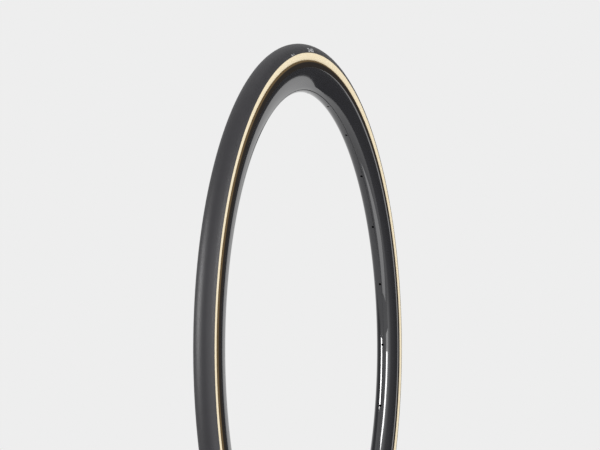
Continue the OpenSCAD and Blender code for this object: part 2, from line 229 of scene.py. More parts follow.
def new_material(name):
    """An empty material and its node tree."""
    made = bpy.data.materials.new(name)
    made.use_nodes = True
    made.node_tree.nodes.clear()
    return made, made.node_tree


def finish_material(made, shader):
    """Joins the shader to the material's output."""
    add(made.node_tree, "ShaderNodeOutputMaterial", {"Surface": shader})
    return made


def surface(made, tint, roughness, relief, levels=None):
    """Finishes a material as one surface; its relief is height, strength and depth."""
    tree = made.node_tree
    bump = add(tree, "ShaderNodeBump", dict(zip(("Height", "Strength", "Distance"), relief)))
    looks = {"Base Color": tint, "Roughness": roughness, "Normal": bump, **(levels or {})}
    return finish_material(made, add(tree, "ShaderNodeBsdfPrincipled", looks))


def deselect():
    """Leaves edit mode and selects nothing."""
    if bpy.context.object and bpy.context.object.mode != "OBJECT":
        bpy.ops.object.mode_set(mode="OBJECT")
    bpy.ops.object.select_all(action="DESELECT")


def only(piece):
    """Makes piece the one selected and active object."""
    deselect()
    piece.select_set(True)
    bpy.context.view_layer.objects.active = piece


def select_all():
    bpy.ops.mesh.select_all(action="SELECT")


@contextmanager
def editing(piece):
    """Edit mode on one object, with all of its mesh selected."""
    only(piece)
    bpy.ops.object.mode_set(mode="EDIT")
    select_all()
    yield
    bpy.ops.object.mode_set(mode="OBJECT")


def modify(piece, kind, **settings):
    """Adds a modifier with its settings and applies it."""
    only(piece)
    change = piece.modifiers.new(kind, kind)
    for key, value in settings.items():
        setattr(change, key, value)
    bpy.ops.object.modifier_apply(modifier=change.name)


def settle(piece):
    """Puts a piece's place, turn and size into its mesh."""
    only(piece)
    bpy.ops.object.transform_apply(location=True, rotation=True, scale=True)
    return piece


def stood_at(piece, place):
    """Moves a shape to its place, in its mesh."""
    piece.matrix_world = place
    return settle(piece)


def primitive(kind, name, **settings):
    """A new named primitive, with its place and size in its mesh."""
    deselect()
    getattr(bpy.ops.mesh, "primitive_" + kind + "_add")(**settings)
    made = bpy.context.object
    made.name = made.data.name = name
    return settle(made)


def arc(centre, radius, start, end, parts):
    """Points on an arc, as (radius, distance from the centre plane); angles in degrees."""
    return [
        (centre[0] + radius * math.cos(math.radians(a)), centre[1] + radius * math.sin(math.radians(a)))
        for a in (start + (end - start) * i / parts for i in range(parts + 1))
    ]


def bezier(p0, p1, p2, p3, parts):
    """Points on a cubic curve from p0 to p3."""

    def at(t):
        s = 1 - t
        weights = (s**3, 3 * s * s * t, 3 * s * t * t, t**3)
        return tuple(sum(w * p for w, p in zip(weights, part)) for part in zip(p0, p1, p2, p3))

    return [at(i / parts) for i in range(parts + 1)]


def turned(degrees, axis):
    return Matrix.Rotation(math.radians(degrees), 4, axis)


def off(corner, *steps):
    """Points beside a corner, each by its steps in millimetres."""
    return [(corner[0] + out * MM, corner[1] + along * MM) for out, along in steps]


def both_sides(half):
    """A closed outline from its half at y >= 0, which runs from centre plane to centre plane."""
    return half + [(r, -y) for r, y in reversed(half) if y > CLOSE]


def traced(name, start, moves):
    """A line drawn by extruding a corner move by move; back at its start it closes."""
    line = primitive("plane", name, size=MM, location=start)
    with editing(line):
        bpy.ops.mesh.merge(type="CENTER")
        for move in moves:
            bpy.ops.mesh.extrude_region_move(TRANSFORM_OT_translate={"value": move})
        select_all()
        bpy.ops.mesh.remove_doubles(threshold=CLOSE)
    return line


def drawn(name, outline):
    """A closed line from point to point in the XY plane."""
    pairs = zip(outline, outline[1:] + outline[:1])
    moves = [(there[0] - here[0], there[1] - here[1], 0) for here, there in pairs]
    return traced(name, (*outline[0], 0), moves)


def close_shell(piece):
    """Closes the seam of a shell and turns its faces outwards."""
    with editing(piece):
        bpy.ops.mesh.remove_doubles(threshold=CLOSE_ON_SHELL)
        bpy.ops.mesh.normals_make_consistent(inside=False)


def swept(line, axis, steps, pitch=0.0, turns=1):
    """Turns a line into a shell: swept round an axis, and up it by pitch each turn."""
    way = {"axis": axis, "angle": math.tau, "screw_offset": pitch, "iterations": turns}
    seam = {"use_merge_vertices": True, "merge_threshold": CLOSE}
    modify(line, "SCREW", steps=steps, render_steps=steps, **way, **seam)
    close_shell(line)
    return line


def ring(name, outline, steps):
    """A ring round the axle."""
    return swept(drawn(name, outline), "Y", steps)


def cut(piece, tool, operation="DIFFERENCE"):
    """Takes tool out of piece, or joins it to piece, or keeps what they share."""
    modify(piece, "BOOLEAN", operation=operation, solver="EXACT", object=tool)
    bpy.data.objects.remove(tool)


def smooth(piece, degrees):
    """Shades smooth, with sharp edges where faces meet at more than the angle."""
    only(piece)
    bpy.ops.object.shade_smooth_by_angle(angle=math.radians(degrees))
    return piece


def dress(piece, body, material, nodes=()):
    """Gives a finished piece its material, its body, and the CAD nodes that it stands for."""
    piece.data.materials.clear()
    piece.data.materials.append(material)
    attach(piece, body)
    if nodes:
        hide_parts(*nodes)
    return piece


def around_ring(tree, ring_radius):
    """Measures on a ring's surface: place, way along it, lean of its section, radius, and y."""
    place = add(tree, "ShaderNodeTexCoord").outputs["Object"]
    x, y, z = add(tree, "ShaderNodeSeparateXYZ", {0: place}).outputs
    flat = add(tree, "ShaderNodeCombineXYZ", {"X": x, "Z": z})
    radius = add(tree, "ShaderNodeVectorMath", {0: flat}, operation="LENGTH").outputs["Value"]
    turn = add(tree, "ShaderNodeMath", {0: z, 1: x}, operation="ARCTAN2")
    along = add(tree, "ShaderNodeMath", {0: turn, 1: ring_radius}, operation="MULTIPLY")
    out = add(tree, "ShaderNodeMath", {0: radius, 1: ring_radius}, operation="SUBTRACT")
    lean = add(tree, "ShaderNodeMath", {0: y, 1: out}, operation="ARCTAN2")
    return {"place": place, "along": along, "lean": lean, "radius": radius, "y": y}


# ---- materials


def tread_rubber(colours, ring_radius):
    """Black tread rubber, moulded and buffed: dull, with a fine grain and a soft sheen."""
    made, tree = new_material("tread_rubber_moulded")
    place = around_ring(tree, ring_radius)["place"]
    # Buffing grain of about 0.2 mm, drawn at 1.5 mm so that it shows.
    grit = {"Vector": place, "Scale": 1 / (1.5 * MM), "Detail": 4, "Roughness": 0.6}
    grain = add(tree, "ShaderNodeTexNoise", grit)
    # Bloom of the compound in soft patches 14 mm across.
    bloom = add(tree, "ShaderNodeTexNoise", {"Vector": place, "Scale": 1 / (14 * MM), "Detail": 3})
    black = linear(colours.rubber)
    grey = scaled(black, 1.35)
    tint = add(tree, "ShaderNodeMix", {0: bloom, 6: black, 7: grey}, data_type="RGBA")
    gloss = add(tree, "ShaderNodeMapRange", {"Value": grain, "To Min": 0.4, "To Max": 0.68})
    return surface(made, tint.outputs[2], gloss, (grain, 0.5, 0.2 * MM), {"Specular IOR Level": 0.42})


def skinwall(colours, ring_radius, section):
    """Natural cotton casing under clear latex: cream, satin, with its cords lying at 45 degrees."""
    made, tree = new_material("skinwall_cotton_latexed")
    ring_at = around_ring(tree, ring_radius)
    place, along = ring_at["place"], ring_at["along"]
    across = add(tree, "ShaderNodeMath", {0: ring_at["lean"], 1: section}, operation="MULTIPLY")
    # Cords lie 0.08 mm apart and are drawn 0.75 mm apart, a whole number of them round the tire.
    cords_round = round(math.tau * ring_radius / (0.75 * MM))
    waves = cords_round / ring_radius
    plies = []
    for side in (1, -1):
        slant = add(tree, "ShaderNodeMath", {0: across, 1: side, 2: along}, operation="MULTIPLY_ADD")
        phase = add(tree, "ShaderNodeMath", {0: slant, 1: waves}, operation="MULTIPLY")
        plies.append(add(tree, "ShaderNodeMath", {0: phase}, operation="SINE"))
    # The outer ply shows, and the one under it only faintly.
    weave = add(tree, "ShaderNodeMath", {0: plies[1], 1: 0.3, 2: plies[0]}, operation="MULTIPLY_ADD")
    cords = add(tree, "ShaderNodeMapRange", {"Value": weave, "From Min": -1.3, "From Max": 1.3})
    # Latex soaks in unevenly, in streaks about 9 mm long.
    streaks = {"Vector": place, "Scale": 1 / (9 * MM), "Detail": 4, "Roughness": 0.55}
    soak = add(tree, "ShaderNodeTexNoise", streaks)
    cream = linear(colours.cotton)
    deep = scaled(cream, 0.93, 0.88, 0.76)
    tint = add(tree, "ShaderNodeMix", {0: soak, 6: deep, 7: cream}, data_type="RGBA")
    # Painted shade: the grooves between the cords are darkened and warmed, by up to 0.45 of the way to this
    # colour.
    groove = scaled(cream, 0.84, 0.76, 0.6)
    between = add(tree, "ShaderNodeMapRange", {"Value": cords, "From Max": 0.5, "To Min": 0.45, "To Max": 0})
    thread = add(tree, "ShaderNodeMix", {0: between, 6: tint.outputs[2], 7: groove}, data_type="RGBA")
    return surface(made, thread.outputs[2], 0.55, (cords, 0.3, 0.06 * MM), {"Specular IOR Level": 0.35})


def carbon_lacquered(colours, rim):
    """Carbon laminate under gloss lacquer: near black with sharp reflections; its tracks are dull, with a
    painted reflection of the sidewall under the lips.
    """
    made, tree = new_material("carbon_laminate_lacquered")
    ring_at = around_ring(tree, rim.flange)
    along, radius = ring_at["along"], ring_at["radius"]
    # The ground finish ends past the step at the foot of each track, within 0.2 mm.
    track_edge, blur = rim.flange - rim.track_height - 0.4 * MM, 0.1 * MM
    edge = {"Value": radius, "From Min": track_edge - blur, "From Max": track_edge + blur}
    track = add(tree, "ShaderNodeMapRange", edge)
    # Tows of the laminate are 2 mm wide and lie at 45 degrees.
    slant = add(tree, "ShaderNodeMath", {0: along, 1: radius}, operation="ADD")
    stripes = {"W": slant, "Scale": 1 / (2 * MM), "Detail": 1}
    tow = add(tree, "ShaderNodeTexNoise", stripes, noise_dimensions="1D")
    black = linear(colours.carbon)
    sheen = scaled(black, 1.7)
    tint = add(tree, "ShaderNodeMix", {0: tow, 6: black, 7: sheen}, data_type="RGBA")
    # Painted reflection: under the lips the tracks are coloured brown, fading out over 1.2 mm, for the
    # shaded cream sidewall mirrored in them.
    fade = {"Value": radius, "From Min": rim.flange - 2.4 * MM, "From Max": rim.flange - 1.2 * MM}
    painted_lip_reflection = add(tree, "ShaderNodeMapRange", fade)
    track_and_reflection = {0: painted_lip_reflection, 6: linear(colours.track), 7: linear(colours.painted_lip_reflection)}
    ground = add(tree, "ShaderNodeMix", track_and_reflection, data_type="RGBA")
    skin = add(tree, "ShaderNodeMix", {0: track, 6: tint.outputs[2], 7: ground.outputs[2]}, data_type="RGBA")
    gloss = add(tree, "ShaderNodeMapRange", {"Value": track, "To Min": 0.04, "To Max": 0.1})
    shine = add(tree, "ShaderNodeMapRange", {"Value": track, "To Min": 0.5, "To Max": 0})
    # Grinding marks run round the tracks, 0.3 mm apart and drawn 0.6 mm apart.
    lines = {"W": radius, "Scale": 1 / (0.6 * MM), "Detail": 2}
    grind = add(tree, "ShaderNodeTexNoise", lines, noise_dimensions="1D")
    marks = add(tree, "ShaderNodeMath", {0: grind, 1: track}, operation="MULTIPLY")
    # The lacquer and the fibres under it both reflect, as a denser lacquer would.
    levels = {"Specular IOR Level": shine, "IOR": 1.75}
    return surface(made, skin.outputs[2], gloss, (marks, 0.15, 0.03 * MM), levels)


def turned_metal(name, code, roughness, tilt):
    """Metal turned on a lathe: bright, with fine rings round the valve's axis."""
    made, tree = new_material(name)
    place = add(tree, "ShaderNodeTexCoord").outputs["Object"]
    upright = add(tree, "ShaderNodeMapping", {"Vector": place, "Rotation": (0, tilt, 0)})
    height = add(tree, "ShaderNodeSeparateXYZ", {0: upright}).outputs["Z"]
    # Tool marks 0.1 mm apart.
    lines = {"W": height, "Scale": 1 / (0.1 * MM), "Detail": 2}
    rings = add(tree, "ShaderNodeTexNoise", lines, noise_dimensions="1D")
    spread = {"Value": rings, "To Min": roughness * 0.8, "To Max": roughness * 1.25}
    gloss = add(tree, "ShaderNodeMapRange", spread)
    return surface(made, linear(code), gloss, (rings, 0.1, 0.01 * MM), {"Metallic": 1})


def moulded(name, code, light, roughness, grain):
    """Moulded plastic or rubber: dull, with a fine grain of the given size and slight patches."""
    made, tree = new_material(name)
    place = add(tree, "ShaderNodeTexCoord").outputs["Object"]
    fine = add(tree, "ShaderNodeTexNoise", {"Vector": place, "Scale": 1 / grain, "Detail": 3})
    patch = add(tree, "ShaderNodeTexNoise", {"Vector": place, "Scale": 0.08 / grain, "Detail": 2})
    dark = linear(code)
    pale = scaled(dark, light)
    tint = add(tree, "ShaderNodeMix", {0: patch, 6: dark, 7: pale}, data_type="RGBA")
    spread = {"Value": fine, "To Min": roughness * 0.85, "To Max": roughness * 1.15}
    gloss = add(tree, "ShaderNodeMapRange", spread)
    return surface(made, tint.outputs[2], gloss, (fine, 0.25, 0.1 * grain))


def woven(name, code, spacing, ring_radius):
    """Woven cloth: two sets of threads that cross, the given distance apart."""
    made, tree = new_material(name)
    ring_at = around_ring(tree, ring_radius)
    threads = []
    for way in (ring_at["along"], ring_at["y"]):
        phase = add(tree, "ShaderNodeMath", {0: way, 1: math.pi / spacing}, operation="MULTIPLY")
        threads.append(add(tree, "ShaderNodeMath", {0: phase}, operation="SINE"))
    cross = add(tree, "ShaderNodeMath", {0: threads[0], 1: threads[1]}, operation="MULTIPLY")
    over = add(tree, "ShaderNodeMapRange", {"Value": cross, "From Min": -1})
    top = linear(code)
    # Painted shade: where one set of threads passes under the other, it is drawn at 0.6 of its colour.
    under = scaled(top, 0.6)
    tint = add(tree, "ShaderNodeMix", {0: over, 6: under, 7: top}, data_type="RGBA")
    return surface(made, tint.outputs[2], 0.8, (over, 0.4, 0.2 * spacing))


def printed_ink(colours):
    """Ink printed on rubber: pale and dull, slightly patchy."""
    return moulded("print_ink_on_rubber", colours.print_ink, 1.12, 0.6, 0.3 * MM)


# ---- shapes that several pieces share


def tire_section(tire):
    """Radius of the casing's section, and the radius from the axle to its centre."""
    radius = tire.half_width
    return radius, tire.crown - tire.tread - tire.belt - radius


def tread_height(tire, lean):
    """Height of the tread above the casing, at an angle from the crown."""
    rise = tire.tread + tire.belt - tire.tread_lip
    return tire.tread_lip + rise * max(0, math.cos(math.pi / 2 * lean / tire.tread_edge)) ** 1.6


def lip_centre(rim):
    """Centre of the rounding of a flange's lip."""
    return rim.flange - rim.lip / 2, rim.track - rim.lip / 2


def on_inner_edge(rim, turn):
    """Place for an upright shape on the rim's inner edge, at an angle above X."""
    inner_edge = Matrix.Translation((rim.flange - rim.depth, 0, 0))
    return Matrix.Rotation(-turn, 4, "Y") @ inner_edge @ Matrix.Rotation(-math.pi / 2, 4, "Y")


def valve_angle(rim):
    """The valve stands half way between two spokes, next to the lowest point."""
    return rim.first_hole - math.pi / 2 + math.pi / rim.holes


def valve_tilt(rim):
    """Turn about Y that stands the valve's axis upright."""
    return -valve_angle(rim) - math.pi / 2


def on_valve(piece, rim, degrees):
    """Puts an upright piece on the valve's axis and shades it smooth."""
    return smooth(stood_at(piece, on_inner_edge(rim, valve_angle(rim))), degrees)


# ---- outlines


def casing_outline(tire, rim):
    """The casing's whole section: round the air, in under the hooks, and down to its bead toes."""
    section, centre = tire_section(tire)
    lip = lip_centre(rim)

    def side(radius, leave, wrap, land, pull, parts):
        """Half of the round section, the curve from it to a flange's lip, and the arc round that lip."""
        a, b = math.radians(leave), math.radians(land)
        p0 = (centre + radius * math.cos(a), radius * math.sin(a))
        p3 = (lip[0] + wrap * math.cos(b), lip[1] + wrap * math.sin(b))
        p1 = (p0[0] - pull * math.sin(a), p0[1] + pull * math.cos(a))
        p2 = (p3[0] - pull * math.sin(b), p3[1] + pull * math.cos(b))
        half = arc((centre, 0), radius, 0, leave, parts) + bezier(p0, p1, p2, p3, 8)[1:]
        return half + arc(lip, wrap, land, -90, parts // 5)[1:]

    # The outside leaves its round section a little above the lips, and the inside 11 degrees before it.
    above_lip = 1.55 * MM
    leave = 90 + math.degrees(math.asin((centre - rim.flange - above_lip) / section))
    wrap = rim.lip / 2 + FIT
    outside = side(section, leave, wrap, -20, 0.35 * MM, 60)
    inside = side(section - tire.casing, leave - 11, wrap + tire.casing, -30, 0.7 * MM, 30)
    # The bead stands on its chafer and has a chamfered heel.
    chafer, chamfer, bead_width = 0.3 * MM, 0.85 * MM, 3 * MM
    mouth = rim.track - rim.lip
    neck = mouth - FIT - chafer
    heel = neck + rim.hook
    toe = mouth + rim.hook - bead_width
    hook_top = tire.bead_seat + rim.hook_height
    bed = tire.bead_seat + FIT + chafer
    bead = [(lip[0], neck), (hook_top + 0.7 * MM, neck), (hook_top - 0.15 * MM, heel)]
    bead += [(bed + chamfer, heel), (bed, heel - chamfer)]
    bead += off((bed, toe), (0, 0.5), (0.25, 0), (1.6, 0), (2.8, 0.8))
    return both_sides(outside + bead + inside[::-1])


def tread_outline(tire):
    """The tread's whole section: thick at the crown over the belt, thin at its edges."""
    section, centre = tire_section(tire)
    parts, edge = 44, tire.tread_edge
    leans = [edge * i / parts for i in range(parts + 1)]
    polar = [(section + tread_height(tire, lean), lean) for lean in leans]
    # The edge slopes out over its own thickness.
    polar[-1] = (section + 0.6 * tire.tread_lip, edge * 1.004)
    outside = [(centre + radius * math.cos(lean), radius * math.sin(lean)) for radius, lean in polar]
    edge_deg, belt_deg = math.degrees(edge), math.degrees(tire.belt_edge)
    under = arc((centre, 0), section, edge_deg, belt_deg, 16)
    under += arc((centre, 0), section + tire.belt, belt_deg, 0, 12)
    return both_sides(outside + under)


def rim_outline(tire, rim):
    """The outside of the rim, from its well over the lips and down to its rounded inner edge."""
    lip = lip_centre(rim)
    hook = rim.track - rim.lip + rim.hook
    seat, well = tire.bead_seat, tire.bead_seat - rim.well_depth
    half = [(well, 0), *off((well, rim.well), (0, -0.2), (0.3, -0.1)), (seat, rim.well)]
    half += [(seat, hook), (seat + rim.hook_height, hook), *arc(lip, rim.lip / 2, -125, 90, 26)]
    # A rounded step leads out from the ground track to the lacquered side.
    track_end = rim.flange - rim.track_height
    side = rim.track + rim.track_step
    shoulder = track_end - 0.35 * MM
    half += [(lip[0] - 2 * MM, rim.track), (track_end + 0.5 * MM, rim.track)]
    step = ((track_end + 0.2 * MM, rim.track), (track_end, rim.track + 0.1 * rim.track_step))
    half += bezier(*step, (track_end, side), (shoulder, side), 8)
    # The side runs almost straight, then rounds in to meet the inner edge at a slant.
    slant = 18
    inner_edge = arc((rim.flange - rim.depth + rim.nose, 0), rim.nose, 90 + slant, 180, 26)
    edge = inner_edge[0]
    pull = 0.38 * (shoulder - edge[0])
    way = math.radians(slant)
    inward = (edge[0] + pull * math.cos(way), edge[1] + pull * math.sin(way))
    half += bezier((shoulder, side), (shoulder - pull, side), inward, edge, 24)[1:] + inner_edge[1:-1]
    return both_sides(half + [(inner_edge[-1][0], 0)])


def hollow_outline(tire, rim):
    """The hollow inside the rim."""
    inner = rim.track - rim.wall
    roof = tire.bead_seat - rim.tire_bed
    nose = rim.flange - rim.depth + rim.nose
    hollow = rim.nose - rim.wall
    floor = 180 - math.degrees(math.acos((rim.nose - rim.spoke_bed) / hollow))
    half = [(nose - rim.nose + rim.spoke_bed, 0)] + arc((nose, 0), hollow, floor, 90, 10)
    half += [(roof - rim.wall / 2, inner), (roof, inner - rim.wall / 2), (roof, rim.well + 1.3 * MM)]
    half += [(roof - rim.well_depth, rim.well + 0.5 * MM), (roof - rim.well_depth, 0)]
    return both_sides(half)


# ---- valve shapes, drawn upright and then placed


def upright_bar(name, side, steps):
    """A turned shape round +Z; its side gives (radius, height) from the bottom up."""
    bar = drawn(name, [(0, side[0][1]), *side, (0, side[-1][1])])
    # Drawn in the XY plane, so it is turned up into XZ before the sweep.
    bar.rotation_euler.x = math.pi / 2
    return swept(settle(bar), "Z", steps)


def threaded_bar(name, crest, depth, pitch, bottom, top, steps=32):
    """A round bar with one thread from bottom to top, cut square at both ends."""
    flank, flat = 0.38 * pitch, 0.12 * pitch
    moves = [(depth, 0, flank), (0, 0, flat), (-depth, 0, flank), (0, 0, flat)]
    bar = traced(name, (crest - depth, 0, bottom - pitch), moves)
    swept(bar, "Z", steps, pitch, math.ceil((top - bottom) / pitch) + 2)
    with editing(bar):
        bpy.ops.mesh.fill_holes(sides=0)
    close_shell(bar)
    cut(bar, plug("length", crest + MM, bottom, top), "INTERSECT")
    return bar


def repeated(piece, copies, axis=(0, 0, 1)):
    """Copies the whole mesh evenly round an axis through the origin."""
    with editing(piece):
        bpy.ops.mesh.spin(steps=copies, angle=math.tau, center=(0, 0, 0), axis=axis, dupli=True)
        select_all()
        bpy.ops.mesh.remove_doubles(threshold=CLOSE_ON_SHELL)
    return piece


def plug(name, radius, start, end, sides=28, aside=0):
    """A round cutter along +Z between two heights, on the axis or aside from it."""
    place = (aside, 0, (start + end) / 2)
    return primitive("cylinder", name, vertices=sides, radius=radius, depth=end - start, location=place)


# ---- operators: one for each piece or group of like pieces


class TIRE_OT_tread(bpy.types.Operator):
    """Models the tread"""

    bl_idname = "tire.tread"
    bl_label = "Tread"

    def execute(self, context):
        tire = context.scene.tire_sizes
        piece = smooth(ring("tread_rubber", tread_outline(tire), TREAD_STEPS), 40)
        rubber = tread_rubber(context.scene.tire_colours, tire_section(tire)[1])
        dress(piece, "wheel", rubber, ["tread"])
        return {"FINISHED"}


class TIRE_OT_casing(bpy.types.Operator):
    """Models the casing with its two sidewalls and beads"""

    bl_idname = "tire.casing"
    bl_label = "Casing"

    def execute(self, context):
        tire, rim = context.scene.tire_sizes, context.scene.rim_sizes
        piece = smooth(ring("skinwall_casing", casing_outline(tire, rim), CASING_STEPS), 40)
        section, centre = tire_section(tire)
        dress(piece, "wheel", skinwall(context.scene.tire_colours, centre, section), ["casing"])
        return {"FINISHED"}


class TIRE_OT_size_mark(bpy.types.Operator):
    """Prints the tire's size on the tread's right shoulder"""

    bl_idname = "tire.size_mark"
    bl_label = "Size mark"

    def execute(self, context):
        tire = context.scene.tire_sizes
        ink = printed_ink(context.scene.tire_colours)
        for name, words, height, at, lean in (
            ("size_mark_large", "23-622", 4.2 * MM, 94.5, 62),
            ("size_mark_small", "700 x 23", 1.7 * MM, 105.5, 68.5),
        ):
            piece = self.lettering(name, words, height)
            self.wrap(piece, tire, math.radians(at), math.radians(lean))
            dress(piece, "wheel", ink)
        return {"FINISHED"}

    def lettering(self, name, words, height):
        """Flat letters, cut across so that they can follow the shoulder."""
        deselect()
        bpy.ops.object.text_add(location=(0, 0, 0))
        piece = bpy.context.object
        piece.data.body = words
        # A capital is 0.7 of the font's size.
        piece.data.size = height / 0.7
        piece.data.align_x = piece.data.align_y = "CENTER"
        piece.data.space_character = 1.12
        piece.data.offset = 0.012 * height
        bpy.ops.object.convert(target="MESH")
        piece = bpy.context.object
        piece.name = piece.data.name = name
        with editing(piece):
            for i in range(-3, 4):
                bpy.ops.mesh.bisect(plane_co=(0, height * i / 6, 0), plane_no=(0, 1, 0))
                select_all()
            bpy.ops.mesh.quads_convert_to_tris()
        return piece

    def wrap(self, piece, tire, at, lean):
        """Lays the letters on the right shoulder, tops to the crown, just proud of the rubber."""
        section, centre = tire_section(tire)
        for corner in piece.data.vertices:
            x, y = corner.co.x, corner.co.y
            down = lean - y / (section + MM)
            turn = at - x / (centre + section * math.cos(down))
            proud = section + tread_height(tire, down) + 0.04 * MM
            out = centre + proud * math.cos(down)
            corner.co = Vector((out * math.cos(turn), -proud * math.sin(down), out * math.sin(turn)))
        modify(piece, "SOLIDIFY", thickness=0.06 * MM, offset=0)
        close_shell(piece)


class TIRE_OT_rim(bpy.types.Operator):
    """Models the rim, its hollow and its holes"""

    bl_idname = "tire.rim"
    bl_label = "Rim"

    def execute(self, context):
        tire, rim = context.scene.tire_sizes, context.scene.rim_sizes
        piece = ring("carbon_rim", rim_outline(tire, rim), RIM_STEPS)
        cut(piece, ring("hollow", hollow_outline(tire, rim), RIM_STEPS))
        seat = rim.flange - rim.depth - tire.bead_seat
        under_bed = seat + rim.well_depth + rim.tire_bed
        for name, radius, bottom, top in (
            ("spoke_holes", rim.spoke_hole / 2, -rim.spoke_bed - MM, MM),
            ("access_holes", rim.access_hole / 2, seat, under_bed + MM),
        ):
            hole = stood_at(plug(name, radius, bottom, top, 20), on_inner_edge(rim, rim.first_hole))
            cut(piece, repeated(hole, rim.holes, (0, 1, 0)))
        valve_hole = plug("valve_hole", rim.valve_hole / 2, seat, MM, 32)
        cut(piece, stood_at(valve_hole, on_inner_edge(rim, valve_angle(rim))))
        smooth(piece, 28)
        dress(piece, "wheel", carbon_lacquered(context.scene.tire_colours, rim), ["rim"])
        return {"FINISHED"}


class TIRE_OT_valve_stem(bpy.types.Operator):
    """Models the threaded stem and the ribbed nut that holds it to the rim"""

    bl_idname = "tire.valve_stem"
    bl_label = "Valve stem and rim nut"

    def execute(self, context):
        scene = context.scene
        rim, valve, colours = scene.rim_sizes, scene.valve_sizes, scene.tire_colours
        tilt = valve_tilt(rim)
        # Brass stem under bright nickel plate.
        plate = turned_metal("nickel_plated_brass_turned", colours.nickel, 0.24, tilt)
        silver = turned_metal("aluminium_anodised_silver", colours.aluminium, 0.3, tilt)
        dress(self.stem(rim, valve), "wheel", plate, ["valve_stem"])
        dress(self.nut(rim, valve), "nut", silver, ["rim_nut"])
        return {"FINISHED"}

    def stem(self, rim, valve):
        r, top = valve.stem, valve.stem_top
        foot = rim.flange - rim.depth - reach("valve_stem")
        shank_top, thread_top = -2 * MM, top - 0.7 * MM
        stem = threaded_bar("valve_stem_threaded", r, valve.thread, valve.pitch, shank_top - MM, thread_top)
        tip = [(r - valve.thread, top - 1.2 * MM), *off((r, top), (-0.1, -0.7), (-0.1, -0.25), (-0.35, 0))]
        cut(stem, upright_bar("tip", tip, 32), "UNION")
        shank = off((r, foot), (0.05, 0), (0.05, 0.8), (-0.03, 0.8)) + off((r, shank_top), (-0.03, 0))
        cut(stem, upright_bar("shank", shank, 32), "UNION")
        cut(stem, plug("bore", valve.bore, foot - MM, top + MM, 32))
        cut(stem, plug("core_seat", valve.core_seat, top - 7.5 * MM, top + MM, 32))
        return on_valve(stem, rim, 35)

    def nut(self, rim, valve):
        r, base, top = valve.nut, valve.nut_base, valve.nut_top
        side = off((r, base), (-0.3, 0), (0, 0.25), (0, 2.1), (-0.35, 2.4))
        nut = upright_bar("rim_nut_ribbed", side + off((r, top), (-0.35, -0.5), (-0.9, 0)), 80)
        groove = plug("groove", 0.4 * MM, base - MM, base + 2.35 * MM, 8, r + 0.12 * MM)
        cut(nut, repeated(groove, 20))
        cut(nut, plug("thread_hole", valve.stem + FIT, base - MM, top + MM, 32))
        cut(nut, plug("seal_seat", 4.55 * MM, base - MM, base + 0.65 * MM, 48))
        return on_valve(nut, rim, 30)


class TIRE_OT_valve_core(bpy.types.Operator):
    """Models the valve core, the knurled nut on its tip and the cap"""

    bl_idname = "tire.valve_core"
    bl_label = "Valve core, tip nut and cap"

    def execute(self, context):
        scene = context.scene
        rim, valve, colours = scene.rim_sizes, scene.valve_sizes, scene.tire_colours
        brass = turned_metal("brass_turned", colours.brass, 0.26, valve_tilt(rim))
        # Polyethylene cap: black, slightly soft, with a fine moulded grain.
        cap_black = moulded("polyethylene_cap_moulded", colours.cap, 1.3, 0.42, 0.25 * MM)
        dress(self.core(rim, valve), "wheel", brass, ["valve_core"])
        dress(self.tip_nut(rim, valve), "tip_nut", brass, ["tip_nut"])
        dress(self.cap(rim, valve), "cap", cap_black, ["valve_cap"])
        return {"FINISHED"}

    def core(self, rim, valve):
        crest, depth = valve.core_crest, valve.core_thread
        foot, stem_top, top = valve.core_foot, valve.stem_top, valve.core_top
        thread = (depth, valve.core_pitch, stem_top + APART, top - 0.2 * MM)
        core = threaded_bar("valve_core_threaded", crest, *thread, 28)
        # Two flats for the wrench.
        flats = (8 * MM, valve.core_flats, top)
        cut(core, primitive("cube", "flats", size=1, location=(0, 0, top), scale=flats), "INTERSECT")
        r = crest - depth
        body = off((r, foot), (-0.6, 0), (-0.6, 3), (0, 3)) + off((r, stem_top), (0, 0.5), (-0.05, 0.5))
        body += off((r, top), (-0.05, -0.3), (-0.3, 0))
        cut(core, upright_bar("body", body, 32), "UNION")
        cut(core, plug("pin_hole", valve.pin_hole, foot - MM, top + MM, 24))
        cut(core, plug("pin_room", valve.pin_hole + 0.25 * MM, foot - MM, top - 1.5 * MM, 24))
        return on_valve(core, rim, 35)

    def tip_nut(self, rim, valve):
        r, base, top = valve.tip_nut, valve.core_top + FIT, valve.tip_nut_top
        side = off((r, base), (-0.15, 0), (0, 0.15), (0, 1.75), (-0.12, 1.95))
        nut = upright_bar("tip_nut_knurled", side + off((r, top), (-0.65, -0.15), (-0.8, 0)), 60)
        cut(nut, repeated(plug("knurl", 0.16 * MM, base - MM, base + 1.8 * MM, 6, r + 0.03 * MM), 20))
        cut(nut, plug("pin_hole", valve.pin_hole, base - MM, top + MM, 24))
        return on_valve(nut, rim, 30)

    def cap(self, rim, valve):
        r, base, top, wall = valve.cap, valve.stem_top + APART, valve.cap_top, 0.8 * MM
        side = off((r, base), (-0.15, 0), (0, 0.15), (0, 7.6), (-0.12, 10), (-0.35, 12.4))
        side += off((r, top), (-0.6, -0.75), (-0.9, -0.35), (-1.35, -0.08), (-1.8, 0))
        cap = upright_bar("valve_cap_ribbed", side, 60)
        rib_size = (0.6 * MM, 0.6 * MM, 6.6 * MM)
        rib = primitive("cube", "rib", size=1, location=(r, 0, base + 3.6 * MM), scale=rib_size)
        modify(rib, "BEVEL", width=0.22 * MM, segments=2)
        cut(cap, repeated(rib, 10), "UNION")
        cut(cap, plug("hollow", valve.core_crest + FIT, base - MM, top - wall, 40))
        return on_valve(cap, rim, 35)


